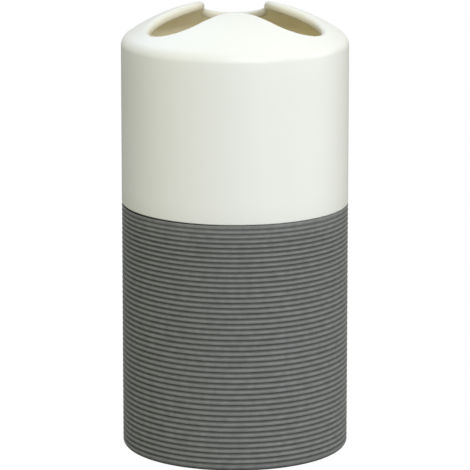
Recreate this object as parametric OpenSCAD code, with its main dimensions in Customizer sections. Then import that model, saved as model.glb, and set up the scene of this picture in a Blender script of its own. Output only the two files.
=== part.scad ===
// Toothbrush holder: a ribbed stoneware cup under a domed, glazed top that lifts off for washing.
// Millimetres, +Z up. The origin is under the middle of the foot pads, and one slot points to the rear, +Y.

/* [Body] */
// Outside diameter of the cup and of the top
body_d = 68; // [60:1:84]
// Height of the ribbed cup, from its foot to its rim
cup_h = 74.5; // [50:0.5:100]
// Height of the top's straight wall, from the seam to the shoulder
wall_h = 47.6; // [30:0.1:70]
// Width of the open line that shows between the two glazed edges
seam_gap = 0.2; // [0.1:0.05:0.6]

/* [Dome] */
// Radius of the sphere that the dome belongs to
dome_r = 56.2; // [48:0.2:90]
// Rounding of the shoulder, between the wall and the dome
shoulder_r = 4.4; // [3:0.1:8]
// Thickness of the top's wall
top_wall = 3.2; // [2.6:0.1:4]
// Thickness of the dome
dome_wall = 2.8; // [2.2:0.1:4]
// Rounding of the shoulder on the inside
inner_shoulder_r = 3; // [2:0.1:6]
// Rounding of the top's lower edge, at the seam
skirt_edge_r = 0.6; // [0.2:0.05:1.2]

/* [Opening] */
// Width of each of the three slots
slot_w = 18.4; // [15:0.2:20]
// Solid rim left outside a slot's tip, measured in from the wall's face
slot_rim = 6.2; // [5:0.1:7]
// Rounding of the noses between the slots
nose_r = 12.3; // [8:0.1:14]
// How far each nose swells into the slots beside it
nose_swell = 0.2; // [0.1:0.05:0.5]

/* [Cup] */
// Wall of the cup, measured from its bore to the crests of the ribs
cup_wall = 3.4; // [3:0.1:4]
// Thickness of the cup's floor
cup_floor = 4; // [3:0.1:6]
// Rounding between the floor and the bore
floor_r = 5; // [2:0.1:8]
// Rounding of the foot's outer edge
foot_r = 1.7; // [1:0.1:2.2]
// Rounding of the rim's outer edge
rim_r = 0.3; // [0.1:0.05:0.5]
// Lead-in bevel of the rim's inner edge
rim_bevel = 0.6; // [0.2:0.1:1]
// Width of the ring that the cup stands on
foot_ring_w = 14; // [12:0.5:18]
// Depth of the hollow under the cup, inside the foot ring
hollow_h = 1; // [0.5:0.1:1.5]

/* [Ribs] */
// Mean spacing of the grooves between the ribs
groove_pitch = 1.56; // [1.3:0.02:2.2]
// Width of a groove at the surface
groove_w = 0.9; // [0.6:0.05:1]
// Width of a groove at its bottom
groove_floor_w = 0.35; // [0.2:0.05:0.5]
// Depth of a groove
groove_depth = 0.5; // [0.2:0.05:0.6]
// Height of the lowest groove above the foot
groove_start = 2.2; // [2:0.1:6]

/* [Seal] */
// Thickness of the seal's flange, which the top rests on
flange_t = 0.8; // [0.7:0.1:1.5]
// Distance from the wall's face to the flange's edge
flange_inset = 1.9; // [1.6:0.1:2.4]
// Height of the sleeve that grips the neck, flange included
sleeve_h = 7.2; // [6:0.1:10]
// Thickness of the sleeve
sleeve_t = 1.2; // [0.8:0.1:1.6]
// How far each lip stands out from the sleeve
lip_w = 0.6; // [0.3:0.1:1]
// Height of a lip where it leaves the sleeve
lip_h = 0.9; // [0.5:0.1:1.2]

/* [Neck] */
// Wall of the neck that reaches into the cup
neck_wall = 2.6; // [2:0.1:3.4]
// How far the bead under the seal stands out from the neck
bead_w = 0.7; // [0.3:0.1:1]
// Height of the bead
bead_h = 1.8; // [1.2:0.1:2.5]
// Height of the solid ledge between the neck and the hollow of the top
ledge_h = 2.6; // [2:0.1:5]

/* [Foot pads] */
// Diameter of a foot pad
pad_d = 8; // [6:0.5:9]
// Thickness of a foot pad
pad_t = 1.5; // [1.3:0.1:2]
// Depth of the pocket that a pad is stuck in
pocket_h = 1; // [0.6:0.1:1.1]
// Distance from the wall's face to a pad's centre
pad_inset = 7; // [6.5:0.1:8]
// Rounding of a pad's edges
pad_edge_r = 0.3; // [0.1:0.05:0.5]

/* [Clearances] */
// Gap between the seal's lips and the bore
bore_gap = 0.2; // [0.1:0.05:0.4]
// Gap between the seal and what it is stretched over
seal_gap = 0.05; // [0.02:0.01:0.1]
// Gap round the seal's flange and round a foot pad
side_gap = 0.25; // [0.1:0.05:0.4]

/* [Hidden] */
$fn = 96;
// Overrun of every cut
cut = 1;

// Colours of the fired clay, the glaze and the silicone
ribs_colour = [0.44, 0.45, 0.43];
glaze_colour = [0.95, 0.95, 0.92];
seal_colour = [0.72, 0.73, 0.71];
pad_colour = [0.80, 0.80, 0.78];

// Directions of the slots, and of the noses and pads between them
slots = [90, 210, 330];
noses = [270, 30, 150];
slot_step = 120;

// Radii
body_r = body_d / 2;
bore_r = body_r - cup_wall;
sleeve_r = bore_r - bore_gap - lip_w;
neck_r = sleeve_r - sleeve_t - seal_gap;
neck_bore_r = neck_r - neck_wall;
inner_r = body_r - top_wall;
flange_r = body_r - flange_inset;
pad_ring_r = body_r - pad_inset;

// Heights
foot_z = pad_t - pocket_h;
rim_z = foot_z + cup_h;
skirt_z = rim_z + seam_gap;
seat_z = rim_z + flange_t;
shoulder_z = skirt_z + wall_h;
bead_z = seat_z - sleeve_h - seal_gap;
neck_z = bead_z - bead_h;
ledge_z = seat_z + ledge_h;
funnel_z = ledge_z + inner_r - neck_bore_r;

// Centre of the dome's sphere, so that the shoulder's rounding meets both the wall and the dome
dome_z = shoulder_z - sqrt(pow(dome_r - shoulder_r, 2) - pow(body_r - shoulder_r, 2));
top_z = dome_z + dome_r;

// Plan of the opening: each slot ends in a half circle, and a round nose narrows the two slots beside it
slot_tip_r = slot_w / 2;
slot_end = body_r - slot_rim - slot_tip_r;
nose_centre = (slot_tip_r + nose_r - nose_swell) / sin(slot_step / 2);
waist = nose_centre * cos(slot_step / 2);

// Grooves: a little closer together towards the rim and the foot than between them
groove_span = cup_h - groove_start;
groove_count = round(groove_span / groove_pitch);
spread_share = 0.22;
spread_turn = 130;
function groove_step(i) = 1 + spread_share * sin(spread_turn * (i - 0.5) / groove_count);
function steps_to(i) = i < 1 ? 0 : groove_step(i) + steps_to(i - 1);
function groove_z(i) = rim_z - groove_span * steps_to(i) / steps_to(groove_count);

// Number of lips on the seal, and their spacing between the flange and the sleeve's end
lip_count = 3;
lip_pitch = (sleeve_h - flange_t - lip_h) / lip_count;

// Half section of a drum whose two outer corners are rounded
module drum(r, low_z, high_z, low_r, high_r) {
    middle_z = (low_z + high_z) / 2;
    translate([0, low_z + low_r]) square([r, high_z - high_r - low_z - low_r]);
    translate([0, low_z]) square([r - low_r, middle_z - low_z]);
    translate([0, middle_z]) square([r - high_r, high_z - middle_z]);
    translate([r - low_r, low_z + low_r]) circle(low_r);
    translate([r - high_r, high_z - high_r]) circle(high_r);
}

// Half section of a drum under a dome, with a rounded shoulder between them
module domed_drum(r, low_z, corner_r, sphere_r) {
    run = r - corner_r;
    rise = sqrt(pow(sphere_r - corner_r, 2) - pow(run, 2));
    reach = 2 * sphere_r;
    translate([0, low_z]) square([r, dome_z + rise - low_z]);
    translate([run, dome_z + rise]) circle(corner_r);
    translate([0, dome_z]) intersection() {
        circle(sphere_r);
        polygon([[0, 0], [run * reach / rise, reach], [0, reach]]);
    }
}

// What a rounding of radius r takes off the outer lower corner of a wall
module corner_off(wall_r, low_z, r) {
    translate([wall_r - r, low_z]) difference() {
        translate([0, -cut]) square([r + cut, r + cut]);
        translate([0, r]) circle(r);
    }
}

// Plan of the three slots and of the space where they meet
module opening_plan() {
    difference() {
        union() {
            for (a = slots) rotate(a) {
                translate([0, -slot_tip_r]) square([slot_end, slot_w]);
                translate([slot_end, 0]) circle(slot_tip_r);
            }
            polygon([for (a = slots, side = [-1, 1])
                [waist * cos(a) - side * slot_tip_r * sin(a), waist * sin(a) + side * slot_tip_r * cos(a)]]);
        }
        for (a = noses) rotate(a) translate([nose_centre, 0]) circle(nose_r);
    }
}

// Half section of the grooves, each with sloping sides
module grooves() {
    edge = groove_w / 2;
    bottom = groove_floor_w / 2;
    for (i = [1:groove_count])
        translate([body_r, groove_z(i)])
            polygon([
                [-groove_depth, -bottom], [0, -edge], [cut, -edge],
                [cut, edge], [0, edge], [-groove_depth, bottom]
            ]);
}

module pad_places() {
    for (a = noses) rotate(a) translate([pad_ring_r, 0, 0]) children();
}

module ribbed_cup() color(ribs_colour) {
    hollow_r = body_r - foot_ring_w;
    floor_z = foot_z + cup_floor;
    difference() {
        rotate_extrude() difference() {
            drum(body_r, foot_z, rim_z, foot_r, rim_r);
            grooves();
            drum(bore_r, floor_z, rim_z + cut, floor_r, cut / 2);
            polygon([
                [0, rim_z - rim_bevel], [bore_r, rim_z - rim_bevel],
                [bore_r + rim_bevel, rim_z], [bore_r + rim_bevel, rim_z + cut], [0, rim_z + cut]
            ]);
            polygon([
                [0, foot_z - cut], [hollow_r + hollow_h, foot_z - cut],
                [hollow_r + hollow_h, foot_z], [hollow_r, foot_z + hollow_h], [0, foot_z + hollow_h]
            ]);
        }
        pad_places() cylinder(h = foot_z + pocket_h, r = pad_d / 2 + side_gap);
    }
}

module domed_top() color(glaze_colour) {
    rebate_r = flange_r + side_gap;
    difference() {
        rotate_extrude() difference() {
            union() {
                domed_drum(body_r, skirt_z, shoulder_r, dome_r);
                translate([0, neck_z]) square([neck_r, seat_z - neck_z]);
                polygon([
                    [0, neck_z], [neck_r, neck_z], [neck_r + bead_w, neck_z + bead_w],
                    [neck_r + bead_w, bead_z], [0, bead_z]
                ]);
            }
            corner_off(body_r, skirt_z, skirt_edge_r);
            translate([neck_r, skirt_z - cut]) square([rebate_r - neck_r, seat_z - skirt_z + cut]);
            translate([0, neck_z - cut]) square([neck_bore_r, ledge_z - neck_z + cut]);
            polygon([[0, ledge_z], [neck_bore_r, ledge_z], [inner_r, funnel_z], [0, funnel_z]]);
            domed_drum(inner_r, funnel_z, inner_shoulder_r, dome_r - dome_wall);
        }
        translate([0, 0, shoulder_z - shoulder_r])
            linear_extrude(top_z - shoulder_z + shoulder_r + cut) opening_plan();
    }
}

module seal_ring() color(seal_colour) {
    hole_r = neck_r + seal_gap;
    rotate_extrude() {
        translate([hole_r, seat_z - sleeve_h]) square([sleeve_r - hole_r, sleeve_h]);
        translate([hole_r, rim_z]) square([flange_r - hole_r, flange_t]);
        for (i = [1:lip_count])
            translate([sleeve_r, rim_z - i * lip_pitch])
                polygon([[0, 0], [lip_w, lip_h], [0, lip_h]]);
    }
}

module foot_pad(i) color(pad_colour) {
    rotate(noses[i]) translate([pad_ring_r, 0, 0])
        rotate_extrude() drum(pad_d / 2, 0, pad_t, pad_edge_r, pad_edge_r);
}

ribbed_cup();
domed_top();
seal_ring();
foot_pad(0);  // foot_pad_1
foot_pad(1);  // foot_pad_2
foot_pad(2);  // foot_pad_3
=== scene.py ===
# %% [markdown]
# # A two-part ceramic toothbrush holder
# The real object is a grey stoneware cup with turned ribs, and a white glazed top that sits in it. The
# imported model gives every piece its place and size. This lesson makes the pieces again as smooth meshes
# with rounded edges and glazed surfaces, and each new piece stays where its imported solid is.

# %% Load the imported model
import math

import bmesh
import bpy
from mathutils import Matrix, Vector


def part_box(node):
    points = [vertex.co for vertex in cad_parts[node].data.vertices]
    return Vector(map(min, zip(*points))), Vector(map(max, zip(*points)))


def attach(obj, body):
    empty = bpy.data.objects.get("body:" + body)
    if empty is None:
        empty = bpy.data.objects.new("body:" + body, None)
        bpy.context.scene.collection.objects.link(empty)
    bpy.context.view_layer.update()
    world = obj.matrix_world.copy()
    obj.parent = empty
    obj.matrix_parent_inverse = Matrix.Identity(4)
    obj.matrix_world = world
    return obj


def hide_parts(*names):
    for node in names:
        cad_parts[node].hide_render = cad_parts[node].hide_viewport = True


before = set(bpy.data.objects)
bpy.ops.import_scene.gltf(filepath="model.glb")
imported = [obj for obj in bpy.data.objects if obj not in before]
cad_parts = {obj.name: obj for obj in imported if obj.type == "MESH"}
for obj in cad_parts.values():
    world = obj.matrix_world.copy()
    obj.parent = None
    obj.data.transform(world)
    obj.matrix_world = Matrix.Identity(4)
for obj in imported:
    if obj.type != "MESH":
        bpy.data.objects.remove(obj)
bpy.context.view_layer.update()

# %% [markdown]
# ## Sizes
# Blender works in metres here, and the object is small, so one millimetre gets a name. The outside sizes
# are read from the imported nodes. What the boxes of the nodes can't tell, such as a wall or a rounding, is
# a named value in the cell that first needs it.

# %% Read the main sizes from the frame
MM = 0.001

cup_low, cup_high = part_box("ribbed_cup")
top_low, top_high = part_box("domed_top")
seal_low, seal_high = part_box("seal_ring")

BODY_R = cup_high.x
FOOT_Z = cup_low.z
RIM_Z = cup_high.z
SEAT_Z = seal_high.z
NECK_Z = top_low.z
print(f"body {2 * BODY_R / MM:.1f} mm across, rim at {RIM_Z / MM:.1f} mm, top at {top_high.z / MM:.1f} mm")

# %% [markdown]
# ## Finishes
# The photograph shows a satin glaze without hard reflections on the top, and a dry, matt engobe on the
# ribs. A finish is a Principled shader with a few nodes in front of it, such as a noise that lets the
# tone drift and a bump that gives the skin its grain. All patterns read Object coordinates, so they stay
# on the clay when the top is lifted, and no image has to be wrapped round a form.

# %% Helpers for node materials
def new_material(name, **settings):
    """A material, its node tree and its Principled shader, whose own sockets get the settings."""
    material = bpy.data.materials.new(name)
    material.use_nodes = True
    shader = material.node_tree.nodes["Principled BSDF"]
    for socket, value in settings.items():
        shader.inputs[socket.replace("_", " ")].default_value = value
    return material, material.node_tree, shader


def object_noise(tree, scale, detail):
    """Noise on Object coordinates, scale in features per metre."""
    coordinates = tree.nodes.new("ShaderNodeTexCoord")
    noise = tree.nodes.new("ShaderNodeTexNoise")
    noise.inputs["Scale"].default_value = scale
    noise.inputs["Detail"].default_value = detail
    tree.links.new(coordinates.outputs["Object"], noise.inputs["Vector"])
    return noise.outputs["Fac"]


def share_between(tree, value, low, high):
    """A share that goes from 0 to 1 as the value goes from low to high."""
    share = tree.nodes.new("ShaderNodeMapRange")
    share.inputs["From Min"].default_value = low
    share.inputs["From Max"].default_value = high
    tree.links.new(value, share.inputs["Value"])
    return share.outputs["Result"]


def tone_between(tree, share, first, second, low, high):
    """A colour that goes from first to second as the share goes from low to high."""
    ramp = tree.nodes.new("ShaderNodeValToRGB")
    ramp.color_ramp.elements[0].position = low
    ramp.color_ramp.elements[0].color = (*first, 1)
    ramp.color_ramp.elements[1].position = high
    ramp.color_ramp.elements[1].color = (*second, 1)
    tree.links.new(share, ramp.inputs["Fac"])
    return ramp.outputs["Color"]


def add_bump(tree, shader, height, distance):
    """A bump of a real height, in metres, in front of the shader's normal."""
    bump = tree.nodes.new("ShaderNodeBump")
    bump.inputs["Distance"].default_value = distance
    tree.links.new(height, bump.inputs["Height"])
    tree.links.new(bump.outputs["Normal"], shader.inputs["Normal"])


# %% [markdown]
# ### Glaze and clay
# Glaze is never quite even, so a slow noise changes its tone a little and a finer one gives the skin its
# slight waviness. Inside, the glaze is creamier, and its colour is also painted brighter and warmer as
# light bounced round the hollow. The lip between the two gets a finish of its own further down. Under the
# foot the clay stays bare, because glaze would stick to the kiln's shelf.

# %% The white glaze, the creamy glaze inside with painted light, and the bare clay
SATIN_ROUGHNESS = 0.42
GLAZE_COAT = {"Coat_Weight": 0.12, "Coat_Roughness": 0.35}


def glaze(name, light, shade, roughness):
    """A satin glaze whose tone drifts a little between light and shade."""
    material, tree, shader = new_material(name, Roughness=roughness, **GLAZE_COAT)
    drift = object_noise(tree, scale=22, detail=2)
    tone = tone_between(tree, drift, shade, light, low=0.3, high=0.7)
    tree.links.new(tone, shader.inputs["Base Color"])
    skin = object_noise(tree, scale=260, detail=2)
    add_bump(tree, shader, skin, distance=0.03 * MM)
    return material


def bare_clay():
    """Unglazed stoneware with a fine grain."""
    material, tree, shader = new_material("bare_clay", Roughness=0.85)
    grain = object_noise(tree, scale=900, detail=4)
    tone = tone_between(tree, grain, (0.50, 0.46, 0.39), (0.62, 0.58, 0.50), low=0.35, high=0.65)
    tree.links.new(tone, shader.inputs["Base Color"])
    add_bump(tree, shader, grain, distance=0.05 * MM)
    return material


WHITE_GLAZE = glaze("white_glaze", (0.775, 0.785, 0.715), (0.755, 0.765, 0.69), roughness=SATIN_ROUGHNESS)
# Inside glaze: creamier than outside, and painted brighter and warmer as light bounced round the hollow.
INNER_GLAZE_PAINTED_LIGHT = glaze("inner_glaze_painted_light", (0.98, 0.91, 0.675), (0.965, 0.89, 0.645), roughness=0.5)
BARE_CLAY = bare_clay()
print("made", WHITE_GLAZE.name, INNER_GLAZE_PAINTED_LIGHT.name, BARE_CLAY.name)

# %% [markdown]
# ### Engobe on the ribs
# The grooves are painted darker than the crests: painted shade where less light reaches into them. The
# distance from the axis tells a crest from a groove, so the shader can work out the painted shade for every
# groove alike. Fine specks of the clay lie over both.

# %% The grey of the ribs
GROOVE_DEPTH = 0.5 * MM


def distance_from_axis(tree):
    """How far a spot is from the Z axis, in metres."""
    coordinates = tree.nodes.new("ShaderNodeTexCoord")
    flat = tree.nodes.new("ShaderNodeVectorMath")
    flat.operation = "MULTIPLY"
    flat.inputs[1].default_value = (1, 1, 0)
    length = tree.nodes.new("ShaderNodeVectorMath")
    length.operation = "LENGTH"
    tree.links.new(coordinates.outputs["Object"], flat.inputs[0])
    tree.links.new(flat.outputs["Vector"], length.inputs[0])
    return length.outputs["Value"]


def times(tree, first, second):
    """Two colours multiplied."""
    mixed = tree.nodes.new("ShaderNodeMix")
    mixed.data_type = "RGBA"
    mixed.blend_type = "MULTIPLY"
    mixed.inputs["Factor"].default_value = 1.0
    tree.links.new(first, mixed.inputs["A"])
    tree.links.new(second, mixed.inputs["B"])
    return mixed.outputs["Result"]


def rib_engobe():
    """Matt grey with painted shade darker towards each groove's bottom, and fine specks of the clay."""
    material, tree, shader = new_material("rib_engobe", Roughness=0.72, Specular_IOR_Level=0.25)
    # Painted shade: the grey darkens from the crests to the bottom of each groove.
    crest = share_between(tree, distance_from_axis(tree), BODY_R - GROOVE_DEPTH, BODY_R)
    grey = tone_between(tree, crest, (0.085, 0.09, 0.08), (0.185, 0.191, 0.18), low=0.1, high=0.95)
    specks = object_noise(tree, scale=420, detail=4)
    speck_tone = tone_between(tree, specks, (0.88, 0.88, 0.88), (1.06, 1.06, 1.06), low=0.35, high=0.65)
    tree.links.new(times(tree, grey, speck_tone), shader.inputs["Base Color"])
    add_bump(tree, shader, specks, distance=0.04 * MM)
    return material


RIB_ENGOBE = rib_engobe()
print("made", RIB_ENGOBE.name)

# %% [markdown]
# ## Helpers for meshes that are closed and smooth
# A potter's form is a section that goes once round an axis. `bmesh.ops.spin` does that from a line of
# vertices. Where the form isn't round, as at the opening, a ring of edges is extruded again and again,
# and each new ring is laid on the next station of the section. Both end in one closed skin, so the
# normals can be recalculated safely.

# %% Points of a section
def arc(centre, radius, start, end, steps):
    """Points of a circle's arc in a section, as (distance from the axis, height); angles in degrees."""
    turn = [math.radians(start + (end - start) * k / steps) for k in range(steps + 1)]
    return [(centre[0] + radius * math.cos(a), centre[1] + radius * math.sin(a)) for a in turn]


def straight(start, end, steps):
    """Evenly spaced points from start to end, without the first."""
    return [tuple(s + (e - s) * k / steps for s, e in zip(start, end)) for k in range(1, steps + 1)]


# %% Spin a section, and make a piece of a bmesh
MERGE_DISTANCE = 0.001 * MM
SHARP_DEGREES = 40


def spun(section, steps):
    """A bmesh of a closed section turned once round the Z axis."""
    bm = bmesh.new()
    verts = [bm.verts.new((r, 0, z)) for r, z in section]
    edges = [bm.edges.new(pair) for pair in zip(verts, verts[1:])]
    bmesh.ops.spin(
        bm, geom=verts + edges, cent=(0, 0, 0), axis=(0, 0, 1), dvec=(0, 0, 0),
        angle=2 * math.pi, steps=steps, use_merge=True, use_normal_flip=False, use_duplicate=False,
    )
    bmesh.ops.remove_doubles(bm, verts=bm.verts, dist=MERGE_DISTANCE)
    return bm


def piece_from(bm, name, materials):
    """Cleans a closed bmesh, makes it a smooth-shaded object at the origin and prints its faces."""
    bmesh.ops.remove_doubles(bm, verts=bm.verts, dist=MERGE_DISTANCE)
    bmesh.ops.recalc_face_normals(bm, faces=bm.faces)
    open_edges = sum(1 for edge in bm.edges if not edge.is_manifold)
    mesh = bpy.data.meshes.new(name)
    bm.to_mesh(mesh)
    bm.free()
    mesh.shade_smooth()
    mesh.set_sharp_from_angle(angle=math.radians(SHARP_DEGREES))
    for material in materials:
        mesh.materials.append(material)
    piece = bpy.data.objects.new(name, mesh)
    bpy.context.scene.collection.objects.link(piece)
    print(f"{name}: {len(mesh.polygons)} faces, {open_edges} open edges")
    return piece


# %% [markdown]
# ## The ribbed cup
# On the real cup the ribs are turned into the mould: flat bands with narrow, round-bottomed grooves
# between them, set a little closer together towards the rim and the foot. The first few below the rim are
# shallower. Their paces follow part of a sine. Forty-odd grooves could be cut one by one, but one section
# holds them all, and a spin makes the whole cup.

# %% Heights of the grooves
GROOVE_PITCH = 1.56 * MM
GROOVE_START = 2.2 * MM
SPREAD_SHARE = 0.22
SPREAD_DEGREES = 130

groove_span = RIM_Z - FOOT_Z - GROOVE_START
groove_count = round(groove_span / GROOVE_PITCH)


def pace(number):
    """A groove's distance from the one above it, as a weight; the grooves are counted from the rim."""
    return 1 + SPREAD_SHARE * math.sin(math.radians(SPREAD_DEGREES * (number - 0.5) / groove_count))


def groove_height(number):
    """Height of a groove's middle, after all the paces from the rim down to it."""
    return RIM_Z - groove_span * sum(paces[:number]) / sum(paces)


paces = [pace(number) for number in range(1, groove_count + 1)]
groove_heights = [groove_height(number) for number in range(1, groove_count + 1)]
print(f"{groove_count} grooves, the lowest {(groove_heights[-1] - FOOT_Z) / MM:.1f} mm above the foot")

# %% Section of one groove
GROOVE_W = 0.9 * MM
GROOVE_SIDE = ((0.17, 0.9), (0.34, 0.5), (0.52, 0.1), (0.7, 0.0))
RIM_GROOVE_SHARE = 0.55
SHALLOW_GROOVES = 5


def groove_section(number, z):
    """A groove from its lower to its upper edge; GROOVE_SIDE holds shares of its width and its depth."""
    deepest = GROOVE_DEPTH * min(1, RIM_GROOVE_SHARE + (1 - RIM_GROOVE_SHARE) * number / SHALLOW_GROOVES)
    lower_side = [(-across, depth) for across, depth in reversed(GROOVE_SIDE)]
    shares = [*lower_side, (0.0, 1.0), *GROOVE_SIDE]
    return [(BODY_R - deepest * depth, z + GROOVE_W * across) for across, depth in shares]


# %% Section of the cup
CUP_WALL = 3.4 * MM
CUP_FLOOR = 4 * MM
CORNER_R = 5 * MM
FOOT_R = 1.7 * MM
FOOT_RING_W = 14 * MM
HOLLOW_H = 1 * MM
HOLLOW_EDGE_W = 0.3 * MM
RIM_R = 0.2 * MM
RIM_BEVEL_R = 0.6 * MM

bore_r = BODY_R - CUP_WALL
floor_z = FOOT_Z + CUP_FLOOR
hollow_r = BODY_R - FOOT_RING_W
hollow_z = FOOT_Z + HOLLOW_H


def cup_section():
    """Half of a cut through the cup: out under the foot, up the ribs, over the rim and down inside."""
    section = [(0, hollow_z), (hollow_r - HOLLOW_H, hollow_z)]
    section += arc((hollow_r - HOLLOW_H, FOOT_Z), HOLLOW_H, 90, 0, steps=4)[1:-1]
    section += [(hollow_r + HOLLOW_EDGE_W, FOOT_Z)]
    section += arc((BODY_R - FOOT_R, FOOT_Z + FOOT_R), FOOT_R, -90, 0, steps=8)
    for number in range(groove_count, 0, -1):
        groove = groove_section(number, groove_heights[number - 1])
        section += [spot for spot in groove if spot[1] > FOOT_Z + FOOT_R]
    section += arc((BODY_R - RIM_R, RIM_Z - RIM_R), RIM_R, 0, 90, steps=4)
    section += arc((bore_r + RIM_BEVEL_R, RIM_Z - RIM_BEVEL_R), RIM_BEVEL_R, 90, 180, steps=5)
    section += straight((bore_r, RIM_Z - RIM_BEVEL_R), (bore_r, floor_z + CORNER_R), steps=8)
    section += arc((bore_r - CORNER_R, floor_z + CORNER_R), CORNER_R, 0, -90, steps=10)[1:]
    section += straight((bore_r - CORNER_R, floor_z), (0, floor_z), steps=6)
    return section


cup_points = cup_section()
print(len(cup_points), "points in the cup's section")

# %% [markdown]
# Handwork is never quite even. The photograph shows a broader and darker line at the left of the seam, so
# the outer edge of the rim is lower there. The spun mesh is moved for that, because a spin alone can only
# make what is the same all round. Then each face gets its finish by where it lies: engobe on the ribs and
# over the rim, glaze inside, and bare clay under the foot.

# %% Spin the cup, and lower the rim's outer edge on the left
CUP_SPIN_STEPS = 180
RIGHT_EDGE_UP = 0.07 * MM
LEFT_EDGE_DOWN = 0.2 * MM
EDGE_POWER = 2
edge_reach = 2 * RIM_R


def leftward(x):
    """How far to the left a direction from the axis points: 0 to the right, 1 to the left."""
    return (1 - x) / 2


cup_mesh = spun(cup_points, CUP_SPIN_STEPS)
for vert in cup_mesh.verts:
    if math.hypot(vert.co.x, vert.co.y) > BODY_R - edge_reach and vert.co.z > RIM_Z - edge_reach:
        fall = leftward(vert.co.x / BODY_R) ** EDGE_POWER
        vert.co.z += RIGHT_EDGE_UP - (RIGHT_EDGE_UP + LEFT_EDGE_DOWN) * fall
print(f"spun into {len(cup_mesh.faces)} faces")

# %% Give the cup's faces their finish
CUP_FINISHES = [RIB_ENGOBE, INNER_GLAZE_PAINTED_LIGHT, BARE_CLAY]
RIBBED, GLAZED, BARE = range(3)
GLAZE_REACH = 0.3 * MM
LEVEL_SLACK = 0.1 * MM

for face in cup_mesh.faces:
    middle = face.calc_center_median()
    from_axis = math.hypot(middle.x, middle.y)
    inside = from_axis < bore_r + GLAZE_REACH and middle.z > floor_z - LEVEL_SLACK
    under = from_axis < BODY_R - FOOT_R and middle.z < hollow_z + LEVEL_SLACK
    face.material_index = GLAZED if inside else BARE if under else RIBBED
print(sum(face.material_index == GLAZED for face in cup_mesh.faces), "of them are glazed")

# %% [markdown]
# The three foot pads are stuck in shallow pockets, so that glue and pad stay out of sight. A boolean is
# the easy way to cut a round pocket into a flat ring, and here it leaves no ragged faces in any curved or
# glazed surface.

# %% Three cutters for the pockets
PAD_NODES = ("foot_pad_1", "foot_pad_2", "foot_pad_3")
DISC_SEGMENTS = 64
POCKET_GAP = 0.25 * MM
POCKET_OVERRUN = 2 * MM


def add_disc(bm, centre, radius, height):
    """Adds an upright cylinder to a bmesh."""
    bmesh.ops.create_cone(
        bm, cap_ends=True, segments=DISC_SEGMENTS, radius1=radius, radius2=radius, depth=height,
        matrix=Matrix.Translation(centre),
    )


def pocket_cutters():
    """A bmesh of three cylinders that reach from below the foot to the top of each pad."""
    bm = bmesh.new()
    for node in PAD_NODES:
        low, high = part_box(node)
        centre = (low + high) / 2
        centre.z = high.z - POCKET_OVERRUN / 2
        add_disc(bm, centre, (high.x - low.x) / 2 + POCKET_GAP, POCKET_OVERRUN)
    for face in bm.faces:
        face.material_index = BARE
    return bm


# %% Cut the pockets, and keep the cup
def temporary_object(bm, name):
    """An object for a modifier to work on, with the cup's finishes; it uses the bmesh up."""
    mesh = bpy.data.meshes.new(name)
    bm.to_mesh(mesh)
    bm.free()
    for material in CUP_FINISHES:
        mesh.materials.append(material)
    holder = bpy.data.objects.new(name, mesh)
    bpy.context.scene.collection.objects.link(holder)
    return holder


def with_pockets(cup_bm):
    """The cup's bmesh with the pockets cut out of it."""
    body = temporary_object(cup_bm, "uncut_cup")
    cutter = temporary_object(pocket_cutters(), "pocket_cutters")
    cut = body.modifiers.new("pockets", "BOOLEAN")
    cut.operation = "DIFFERENCE"
    cut.solver = "EXACT"
    cut.object = cutter
    cut_mesh = bpy.data.meshes.new_from_object(body.evaluated_get(bpy.context.evaluated_depsgraph_get()))
    bm = bmesh.new()
    bm.from_mesh(cut_mesh)
    for leftover in (body.data, cutter.data, cut_mesh):
        bpy.data.meshes.remove(leftover)
    return bm


ribbed_cup = piece_from(with_pockets(cup_mesh), "ribbed_cup_skin", CUP_FINISHES)
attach(ribbed_cup, "cup")
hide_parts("ribbed_cup")

# %% [markdown]
# ## The domed top
# A round wall ends in a shoulder and a shallow dome, and three slots with round ends meet in the middle
# of the dome. Cutting a finished dome with a boolean would leave a ragged row of faces at the opening's
# edge, just where the light catches the glaze. So the rows of the mesh follow the opening's outline from
# the start: each row is extruded from the one before, from the wall up over the dome, round the lip as a
# ball would roll over it, and down again inside. Seen from above, a slot's tip and the nose beside it are
# parts of two circles, and a short straight line touches both.

# %% Sizes of the opening's plan
SLOT_TIP_R = 9.2 * MM
SLOT_TO_EDGE = 6.2 * MM
NOSE_R = 12.3 * MM
NOSE_SWELL = 0.2 * MM
SLOT_TURNS = (90, 210, 330)
TIP_STEPS, SIDE_STEPS, NOSE_STEPS = 20, 6, 22


def direction(angle):
    """A direction of the plan, one unit long; the angle in radians."""
    return Vector((math.cos(angle), math.sin(angle)))


slot_centre = Vector((BODY_R - SLOT_TO_EDGE - SLOT_TIP_R, 0))
nose_turn = math.radians(60)
nose_away = (SLOT_TIP_R + NOSE_R - NOSE_SWELL) / math.sin(nose_turn)
nose_centre = nose_away * direction(nose_turn)
print(f"slots {2 * SLOT_TIP_R / MM:.1f} mm wide, {SLOT_TO_EDGE / MM:.1f} mm from the edge")

# %% Outline of the opening
def half_arm():
    """Points and directions into the clay, from a slot's tip along one side to the nose beside it."""
    between = nose_centre - slot_centre
    lean = math.acos((SLOT_TIP_R + NOSE_R) / between.length)
    towards_nose = between.normalized()
    touch_angle = math.atan2(towards_nose.y, towards_nose.x) - lean
    touch = direction(touch_angle)
    points = []
    for k in range(TIP_STEPS + 1):
        out = direction(touch_angle * k / TIP_STEPS)
        points.append((slot_centre + SLOT_TIP_R * out, out))
    start, end = slot_centre + SLOT_TIP_R * touch, nose_centre - NOSE_R * touch
    for k in range(1, SIDE_STEPS + 1):
        points.append((start.lerp(end, k / SIDE_STEPS), touch))
    for k in range(1, NOSE_STEPS + 1):
        out = direction(touch_angle + (nose_turn - touch_angle) * k / NOSE_STEPS)
        points.append((nose_centre - NOSE_R * out, out))
    return points


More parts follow.
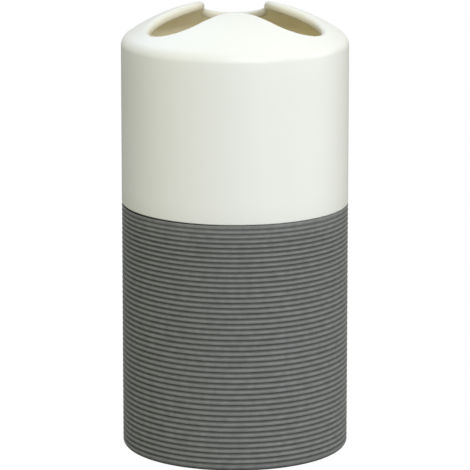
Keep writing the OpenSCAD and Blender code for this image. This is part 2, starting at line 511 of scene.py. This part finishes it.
def opening_outline():
    """The whole outline, anticlockwise: a mirrored half arm and the half arm itself for each slot."""
    half = half_arm()
    mirrored = [(Vector((p.x, -p.y)), Vector((d.x, -d.y))) for p, d in half[1:-1]]
    arm = mirrored[::-1] + half
    outline = []
    for turn in SLOT_TURNS:
        rotation = Matrix.Rotation(math.radians(turn), 2)
        outline += [(rotation @ p, rotation @ d) for p, d in arm]
    return outline


outline = opening_outline()
print(len(outline), "points round the opening")

# %% [markdown]
# The top's wall stands a hair above the cup's rim. In front the seam is drawn a little narrower than the
# packed one, as it looks in the photograph. The dome is part of a sphere, and its centre follows from the
# shoulder that has to touch both the wall and the dome.

# %% Sizes of the wall and the dome
SEAM_GAP = 0.15 * MM
WALL_H = 47.6 * MM
TOP_WALL = 3.2 * MM
SHOULDER_R = 4.4 * MM
INNER_SHOULDER_R = 3 * MM
DOME_R = 56.2 * MM
DOME_WALL = 2.8 * MM

skirt_z = RIM_Z + SEAM_GAP
shoulder_z = skirt_z + WALL_H
dome_z = shoulder_z - math.sqrt((DOME_R - SHOULDER_R) ** 2 - (BODY_R - SHOULDER_R) ** 2)
inner_r = BODY_R - TOP_WALL
inner_dome_r = DOME_R - DOME_WALL
print(f"the dome's centre lies {dome_z / MM:.1f} mm up, the shoulder's {shoulder_z / MM:.1f} mm")

# %% [markdown]
# ### Glaze on the lip with painted shade
# The lip's colour is painted darker and warmer towards the inside, as painted shade where the lip turns
# away from the light. How deep a spot lies below the dome's outer face sets the tone: it falls quickly at
# first, and then more slowly.

# %% The glaze of the lip, with painted shade
PAINTED_SHADE_KNEE = 0.14


def lip_glaze_painted_shade():
    """The white glaze on the lip, painted darker and warmer towards the inside as painted shade."""
    material, tree, shader = new_material("lip_glaze_painted_shade", Roughness=SATIN_ROUGHNESS, **GLAZE_COAT)
    coordinates = tree.nodes.new("ShaderNodeTexCoord")
    from_centre = tree.nodes.new("ShaderNodeVectorMath")
    from_centre.operation = "DISTANCE"
    from_centre.inputs[1].default_value = (0, 0, dome_z)
    tree.links.new(coordinates.outputs["Object"], from_centre.inputs[0])
    depth = share_between(tree, from_centre.outputs["Value"], DOME_R, inner_dome_r)
    # Painted shade: the tone darkens and warms with depth below the dome's outer face.
    tone = tone_between(tree, depth, (0.765, 0.775, 0.70), (0.60, 0.565, 0.43), low=0.0, high=0.6)
    tone.node.color_ramp.elements.new(PAINTED_SHADE_KNEE).color = (0.695, 0.70, 0.61, 1)
    tree.links.new(tone, shader.inputs["Base Color"])
    return material


LIP_GLAZE_PAINTED_SHADE = lip_glaze_painted_shade()
print("made", LIP_GLAZE_PAINTED_SHADE.name)

# %% [markdown]
# ### Stations of the top's mesh
# Every line of the mesh runs from the wall's lower edge over the dome to its own point of the opening's
# outline. There two balls give the lip its roundings: one touches the dome's outer face and the opening's
# upright face, the other the upright face and the dome's inner face, and the skin follows their surfaces.

# %% Shoulder, dome and lip
def shoulder(wall_r, corner_r, sphere_r, steps):
    """Arc from a wall to a sphere round the dome's centre, going up."""
    run = wall_r - corner_r
    rise = math.sqrt((sphere_r - corner_r) ** 2 - run ** 2)
    return arc((run, dome_z + rise), corner_r, 0, math.degrees(math.atan2(rise, run)), steps)


def on_sphere(plan, sphere_r):
    """The point of a sphere round the dome's centre that lies over a point of the plan."""
    return Vector((plan.x, plan.y, dome_z + math.sqrt(sphere_r ** 2 - plan.length_squared)))


def lip_ball(point, into_clay, lip_r, sphere_r):
    """Centre of a ball that touches the opening's upright face; the centre lies on a sphere of the dome."""
    return on_sphere(point + lip_r * into_clay, sphere_r)


def lip_arc(ball, start, end, lip_r, steps):
    """Points on the ball from one direction to another, the first left out."""
    turn = start.angle(end)
    spots = []
    for k in range(1, steps + 1):
        share = k / steps
        way = (math.sin((1 - share) * turn) * start + math.sin(share * turn) * end) / math.sin(turn)
        spots.append(ball + lip_r * way)
    return spots


# %% [markdown]
# The neck below the seam is round, so its part of the section is a plain list of distances and heights:
# the ledge inside, the bore, the bead that holds the seal, the neck, the seat of the seal's flange and
# the skirt round it.

# %% Lower part of the section
NECK_R = 28.55 * MM
NECK_WALL = 2.6 * MM
BEAD_W = 0.7 * MM
BEAD_H = 1.8 * MM
LEDGE_H = 2.6 * MM
REBATE_R = 32.35 * MM
SOFT = 0.3 * MM

neck_bore_r = NECK_R - NECK_WALL
bead_r = NECK_R + BEAD_W
ledge_z = SEAT_Z + LEDGE_H
funnel_z = ledge_z + inner_r - neck_bore_r


def lower_inside():
    """From the inner wall down through the neck, back up outside it and to the skirt's inner edge."""
    section = straight((inner_r, funnel_z + 2 * SOFT), (inner_r - SOFT, funnel_z - SOFT), steps=2)
    section += straight((inner_r - SOFT, funnel_z - SOFT), (neck_bore_r + SOFT, ledge_z + SOFT), steps=4)
    section += straight((neck_bore_r + SOFT, ledge_z + SOFT), (neck_bore_r, ledge_z - SOFT), steps=2)
    section += straight((neck_bore_r, ledge_z - SOFT), (neck_bore_r, NECK_Z + SOFT), steps=5)
    section += arc((neck_bore_r + SOFT, NECK_Z + SOFT), SOFT, 180, 270, steps=3)
    section += arc((NECK_R - SOFT, NECK_Z + SOFT), SOFT, 270, 315, steps=2)
    section += arc((bead_r - SOFT, NECK_Z + BEAD_W + SOFT), SOFT, -45, 0, steps=2)
    section += arc((bead_r - SOFT, NECK_Z + BEAD_H - SOFT), SOFT, 0, 90, steps=3)
    section += [(NECK_R, NECK_Z + BEAD_H), (NECK_R, SEAT_Z), (REBATE_R, SEAT_Z)]
    section += [(REBATE_R, skirt_z + SOFT / 2), (REBATE_R + SOFT / 2, skirt_z)]
    return section


# %% [markdown]
# The wall's lower edge is rounded as a glazed edge is. It rises a little at the far left, where the seam
# is at its broadest. The row beside the lip keeps a fixed distance from it, so that the highlight on the
# dome's edge stays even.

# %% Stations outside, from the skirt up to the lip
SKIRT_EDGE_R = 0.45 * MM
SKIRT_RISE = 0.3 * MM
SKIRT_POWER = 6
WALL_ROWS, DOME_ROWS = 10, 14


def turned(section, out):
    """A section's distances and heights as points on the side of the axis that a direction points to."""
    return [Vector((out.x * r, out.y * r, z)) for r, z in section]


def outer_stations(out, beside_lip, dome_edge):
    """From the skirt's lower edge up the wall, round the shoulder and over the dome to the lip."""
    edge_z = skirt_z + SKIRT_EDGE_R + SKIRT_RISE * leftward(out.x) ** SKIRT_POWER
    stations = turned(arc((BODY_R - SKIRT_EDGE_R, edge_z), SKIRT_EDGE_R, -90, 0, steps=5), out)
    stations += turned(straight((BODY_R, edge_z), (BODY_R, shoulder_z), WALL_ROWS)[:-1], out)
    round_shoulder = shoulder(BODY_R, SHOULDER_R, DOME_R, steps=10)
    stations += turned(round_shoulder, out)
    shoulder_plan = out * round_shoulder[-1][0]
    plans = [shoulder_plan.lerp(beside_lip, k / DOME_ROWS) for k in range(1, DOME_ROWS + 1)]
    plans += [beside_lip.lerp(dome_edge.to_2d(), 0.5)]
    return stations + [on_sphere(plan, DOME_R) for plan in plans] + [dome_edge]


# %% Stations inside, and one whole line of the mesh
OUTER_LIP_R = 1.3 * MM
INNER_LIP_R = 1.1 * MM
BESIDE_LIP_W = 0.8 * MM
LIP_ROWS, INNER_ROWS = 8, 8
TOP_FINISHES = [WHITE_GLAZE, INNER_GLAZE_PAINTED_LIGHT, LIP_GLAZE_PAINTED_SHADE]
OUTSIDE, INSIDE, LIP = range(3)


def inner_stations(out, lip_end):
    """From the lip outwards under the dome, round the inner shoulder and down to the skirt's edge."""
    inner_shoulder = shoulder(inner_r, INNER_SHOULDER_R, inner_dome_r, steps=6)[::-1]
    shoulder_plan = out * inner_shoulder[0][0]
    plans = [lip_end.to_2d().lerp(shoulder_plan, k / INNER_ROWS) for k in range(1, INNER_ROWS)]
    section = inner_shoulder + straight(inner_shoulder[-1], (inner_r, funnel_z + 2 * SOFT), steps=5)
    return [on_sphere(plan, inner_dome_r) for plan in plans] + turned(section + lower_inside(), out)


def meridian(point, into_clay):
    """All stations of one line of the mesh, each as a place and the index of its finish."""
    centre = Vector((0, 0, dome_z))
    outer_ball = lip_ball(point, into_clay, OUTER_LIP_R, DOME_R - OUTER_LIP_R)
    inner_ball = lip_ball(point, into_clay, INNER_LIP_R, inner_dome_r + INNER_LIP_R)
    up, down = (outer_ball - centre).normalized(), (centre - inner_ball).normalized()
    inward = -into_clay.to_3d()
    lip = lip_arc(outer_ball, up, inward, OUTER_LIP_R, LIP_ROWS)
    lip += [inner_ball + INNER_LIP_R * inward]
    lip += lip_arc(inner_ball, inward, down, INNER_LIP_R, LIP_ROWS)
    dome_edge = centre + DOME_R * up
    beside_lip = dome_edge.to_2d() + BESIDE_LIP_W * into_clay
    out = beside_lip.normalized()
    outer, inner = outer_stations(out, beside_lip, dome_edge), inner_stations(out, lip[-1])
    return [(p, OUTSIDE) for p in outer] + [(p, LIP) for p in lip] + [(p, INSIDE) for p in inner]


meridians = [meridian(point, into_clay) for point, into_clay in outline]
print(len(meridians), "lines of", len(meridians[0]), "stations")

# %% [markdown]
# Now the rows are made. The first ring lies at the wall's lower edge. Every row after it is extruded and
# laid on its stations, and the last one comes back to the first, where the two are merged into one closed
# skin.

# %% Extrude the rows
def next_ring(bm, ring, places, finish):
    """Extrudes a closed ring of vertices to its places, and returns the new ring in the same order."""
    edges = [bm.edges.get((ring[k - 1], ring[k])) for k in range(len(ring))]
    made = bmesh.ops.extrude_edge_only(bm, edges=edges)["geom"]
    order = {vert: k for k, vert in enumerate(ring)}
    fresh = [None] * len(ring)
    for vert in (item for item in made if isinstance(item, bmesh.types.BMVert)):
        for edge in vert.link_edges:
            if edge.other_vert(vert) in order:
                fresh[order[edge.other_vert(vert)]] = vert
    for vert, place in zip(fresh, places):
        vert.co = place
    for face in (item for item in made if isinstance(item, bmesh.types.BMFace)):
        face.material_index = finish
    return fresh


def top_mesh():
    """A bmesh of the whole top, row by row."""
    bm = bmesh.new()
    bmesh.ops.create_circle(bm, segments=len(meridians), radius=BODY_R)
    bm.verts.ensure_lookup_table()
    ring = [bm.verts[k] for k in range(len(meridians))]
    for vert, line in zip(ring, meridians):
        vert.co = line[0][0]
    for row in [*range(1, len(meridians[0])), 0]:
        ring = next_ring(bm, ring, [line[row][0] for line in meridians], meridians[0][row][1])
    return bm


domed_top = piece_from(top_mesh(), "domed_top_skin", TOP_FINISHES)
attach(domed_top, "top")
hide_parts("domed_top")

# %% [markdown]
# ## The seal
# A soft ring is stretched over the neck. Its flange carries the top, and three thin lips centre it in the
# bore. It is as round as the cup, so it is spun too. Silicone lets a little light in, so its shader gets
# some subsurface scattering, and a faint haze over its tone.

# %% Silicone
HAZE_SHARE = 0.92


def silicone(name, colour):
    """Translucent rubber of one colour with a faint haze."""
    material, tree, shader = new_material(
        name, Roughness=0.5, Subsurface_Weight=0.15, Subsurface_Scale=2 * MM,
    )
    haze = object_noise(tree, scale=300, detail=2)
    dull = tuple(HAZE_SHARE * c for c in colour)
    tone = tone_between(tree, haze, dull, colour, low=0.3, high=0.7)
    tree.links.new(tone, shader.inputs["Base Color"])
    add_bump(tree, shader, haze, distance=0.02 * MM)
    return material


SEAL_SILICONE = silicone("seal_silicone", (0.50, 0.51, 0.48))
PAD_SILICONE = silicone("pad_silicone", (0.58, 0.58, 0.55))
print("made", SEAL_SILICONE.name, PAD_SILICONE.name)

# %% Section and spin of the seal
FLANGE_R = seal_high.x
SLEEVE_R = 29.8 * MM
SEAL_HOLE_R = 28.6 * MM
SEAL_LIP_W = 0.6 * MM
SEAL_LIP_H = 0.9 * MM
SEAL_LIPS = 3
SEAL_SOFT = 0.15 * MM
SEAL_SPIN_STEPS = 160


def seal_lip(root_z):
    """A lip that slants out and up from the sleeve to its tip, and comes straight back."""
    tip_r, tip_z = SLEEVE_R + SEAL_LIP_W, root_z + SEAL_LIP_H
    section = [(SLEEVE_R, root_z), (tip_r - SEAL_SOFT / 2, tip_z - 2 * SEAL_SOFT), (tip_r, tip_z)]
    return section + [(tip_r - SEAL_SOFT, tip_z), (SLEEVE_R, tip_z)]


def seal_section():
    """Half of a cut through the seal: up the sleeve with its lips, round the flange and down the hole."""
    lip_pitch = (RIM_Z - seal_low.z - SEAL_LIP_H) / SEAL_LIPS
    section = [(SEAL_HOLE_R, seal_low.z), (SLEEVE_R - SEAL_SOFT, seal_low.z)]
    section += [(SLEEVE_R, seal_low.z + SEAL_SOFT)]
    for number in range(SEAL_LIPS, 0, -1):
        section += seal_lip(RIM_Z - number * lip_pitch)
    section += [(SLEEVE_R, RIM_Z)]
    section += arc((FLANGE_R - SEAL_SOFT, RIM_Z + SEAL_SOFT), SEAL_SOFT, -90, 0, steps=3)
    section += arc((FLANGE_R - SEAL_SOFT, SEAT_Z - SEAL_SOFT), SEAL_SOFT, 0, 90, steps=3)
    return section + [(SEAL_HOLE_R, SEAT_Z), (SEAL_HOLE_R, seal_low.z)]


seal_ring = piece_from(spun(seal_section(), SEAL_SPIN_STEPS), "seal_ring_soft", [SEAL_SILICONE])
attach(seal_ring, "top")
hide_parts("seal_ring")

# %% [markdown]
# ## The foot pads
# Three soft discs keep the clay off the basin. Each starts as a short cylinder, and a bevel rounds its
# edges. Hardly more than that edge can be seen of them, so no finer form is needed.

# %% Make a pad in each pocket
PAD_EDGE_R = 0.3 * MM
PAD_FOLD = math.radians(60)


def foot_pad(node):
    """A rounded disc in the place of one pad's node."""
    low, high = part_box(node)
    bm = bmesh.new()
    add_disc(bm, (low + high) / 2, (high.x - low.x) / 2, high.z - low.z)
    rims = [edge for edge in bm.edges if edge.calc_face_angle() > PAD_FOLD]
    bmesh.ops.bevel(
        bm, geom=rims, offset=PAD_EDGE_R, offset_type="OFFSET", affect="EDGES", segments=4, profile=0.5,
        material=-1,
    )
    pad = piece_from(bm, node + "_soft", [PAD_SILICONE])
    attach(pad, "cup")
    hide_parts(node)


for node in PAD_NODES:
    foot_pad(node)

# %% [markdown]
# ## Floor, light and camera
# The photograph has a plain white background, no shadow, and an even light that is strongest from the
# front right. A pale world lights the holder from all round, as a tent of white cloth does, and five
# softboxes model the form. The camera sees the floor and the world as one even white, but the floor
# throws back little light, so the wall doesn't become brighter than the dome.

# %% Floor
FLOOR_SIZE = 8
FLOOR_TONE = 0.12


def white_to_the_camera(tree, shader):
    """Shows a surface as even white to the camera, while its own shader throws back the light."""
    path = tree.nodes.new("ShaderNodeLightPath")
    even_white = tree.nodes.new("ShaderNodeEmission")
    choice = tree.nodes.new("ShaderNodeMixShader")
    tree.links.new(path.outputs["Is Camera Ray"], choice.inputs["Fac"])
    tree.links.new(shader.outputs["BSDF"], choice.inputs[1])
    tree.links.new(even_white.outputs["Emission"], choice.inputs[2])
    tree.links.new(choice.outputs["Shader"], tree.nodes["Material Output"].inputs["Surface"])


bpy.ops.mesh.primitive_plane_add(size=FLOOR_SIZE)
floor = bpy.context.object
floor.name = "floor"
floor_paper, floor_tree, floor_shader = new_material(
    "floor_paper", Roughness=0.9, Base_Color=(FLOOR_TONE, FLOOR_TONE, FLOOR_TONE, 1),
)
white_to_the_camera(floor_tree, floor_shader)
floor.data.materials.append(floor_paper)
print(f"floor of {FLOOR_SIZE} m")

# %% Light from all round
TENT_LIGHT = (0.711, 0.703, 0.687)

world = bpy.data.worlds.new("light_tent")
bpy.context.scene.world = world
world.use_nodes = True
tent = world.node_tree
path = tent.nodes.new("ShaderNodeLightPath")
seen = tent.nodes.new("ShaderNodeMix")
seen.data_type = "RGBA"
seen.inputs["A"].default_value = (*TENT_LIGHT, 1)
seen.inputs["B"].default_value = (1, 1, 1, 1)
tent.links.new(path.outputs["Is Camera Ray"], seen.inputs["Factor"])
tent.links.new(seen.outputs["Result"], tent.nodes["Background"].inputs["Color"])
print("tent light", TENT_LIGHT)

# %% Softboxes
AIM = Vector((0, 0, 70 * MM))


def softbox(name, azimuth, elevation, distance, size, power, tint):
    """A square area light aimed at the middle of the holder; azimuth 0 is the front, 90 the right side."""
    a, e = math.radians(azimuth), math.radians(elevation)
    away = Vector((math.sin(a) * math.cos(e), -math.cos(a) * math.cos(e), math.sin(e)))
    lamp = bpy.data.lights.new(name, "AREA")
    lamp.size = size
    lamp.energy = power
    lamp.color = tint
    box = bpy.data.objects.new(name, lamp)
    box.location = AIM + distance * away
    box.rotation_euler = away.to_track_quat("Z", "Y").to_euler()
    bpy.context.scene.collection.objects.link(box)
    print(f"softbox {name}: {power} W at {distance} m")


softbox("front", 10, 28, distance=1.6, size=0.9, power=11.65, tint=(0.85, 0.91, 1.0))
softbox("key", 25, 15, distance=1.5, size=0.6, power=5.2, tint=(0.93, 0.92, 1.0))
softbox("side", 88, 12, distance=1.5, size=0.7, power=5.8, tint=(1.0, 1.0, 0.92))
softbox("left", -60, 15, distance=1.5, size=0.6, power=1.6, tint=(1.0, 0.85, 0.0))
softbox("behind_left", -135, 50, distance=1.4, size=1.0, power=5.9, tint=(0.58, 0.69, 1.0))

# %% [markdown]
# The camera stands a little over a metre away and looks slightly down through a long lens, as the
# photograph's outline tells. Its place was fitted to that outline and to the curves of the ribs. The view
# transform is the plain one, so that white stays white.

# %% Camera
LENS = 291.8
SENSOR_WIDTH = 36
CAMERA_DISTANCE = 1.1206
CAMERA_HEIGHT = 0.3123
CAMERA_PITCH = 12.45
CAMERA_SIDE = -0.95

camera_data = bpy.data.cameras.new("camera")
camera_data.lens = LENS
camera_data.sensor_width = SENSOR_WIDTH
camera_data.clip_start = 50 * MM
camera = bpy.data.objects.new("camera", camera_data)
around = Matrix.Rotation(math.radians(CAMERA_SIDE), 4, "Z")
place = Matrix.Translation((0, -CAMERA_DISTANCE, CAMERA_HEIGHT))
pitch = Matrix.Rotation(math.radians(90 - CAMERA_PITCH), 4, "X")
camera.matrix_world = around @ place @ pitch
bpy.context.scene.collection.objects.link(camera)
bpy.context.scene.camera = camera
bpy.context.scene.view_settings.view_transform = "Standard"
print(f"camera {CAMERA_DISTANCE} m away and {CAMERA_HEIGHT} m up, looking down by {CAMERA_PITCH} degrees")
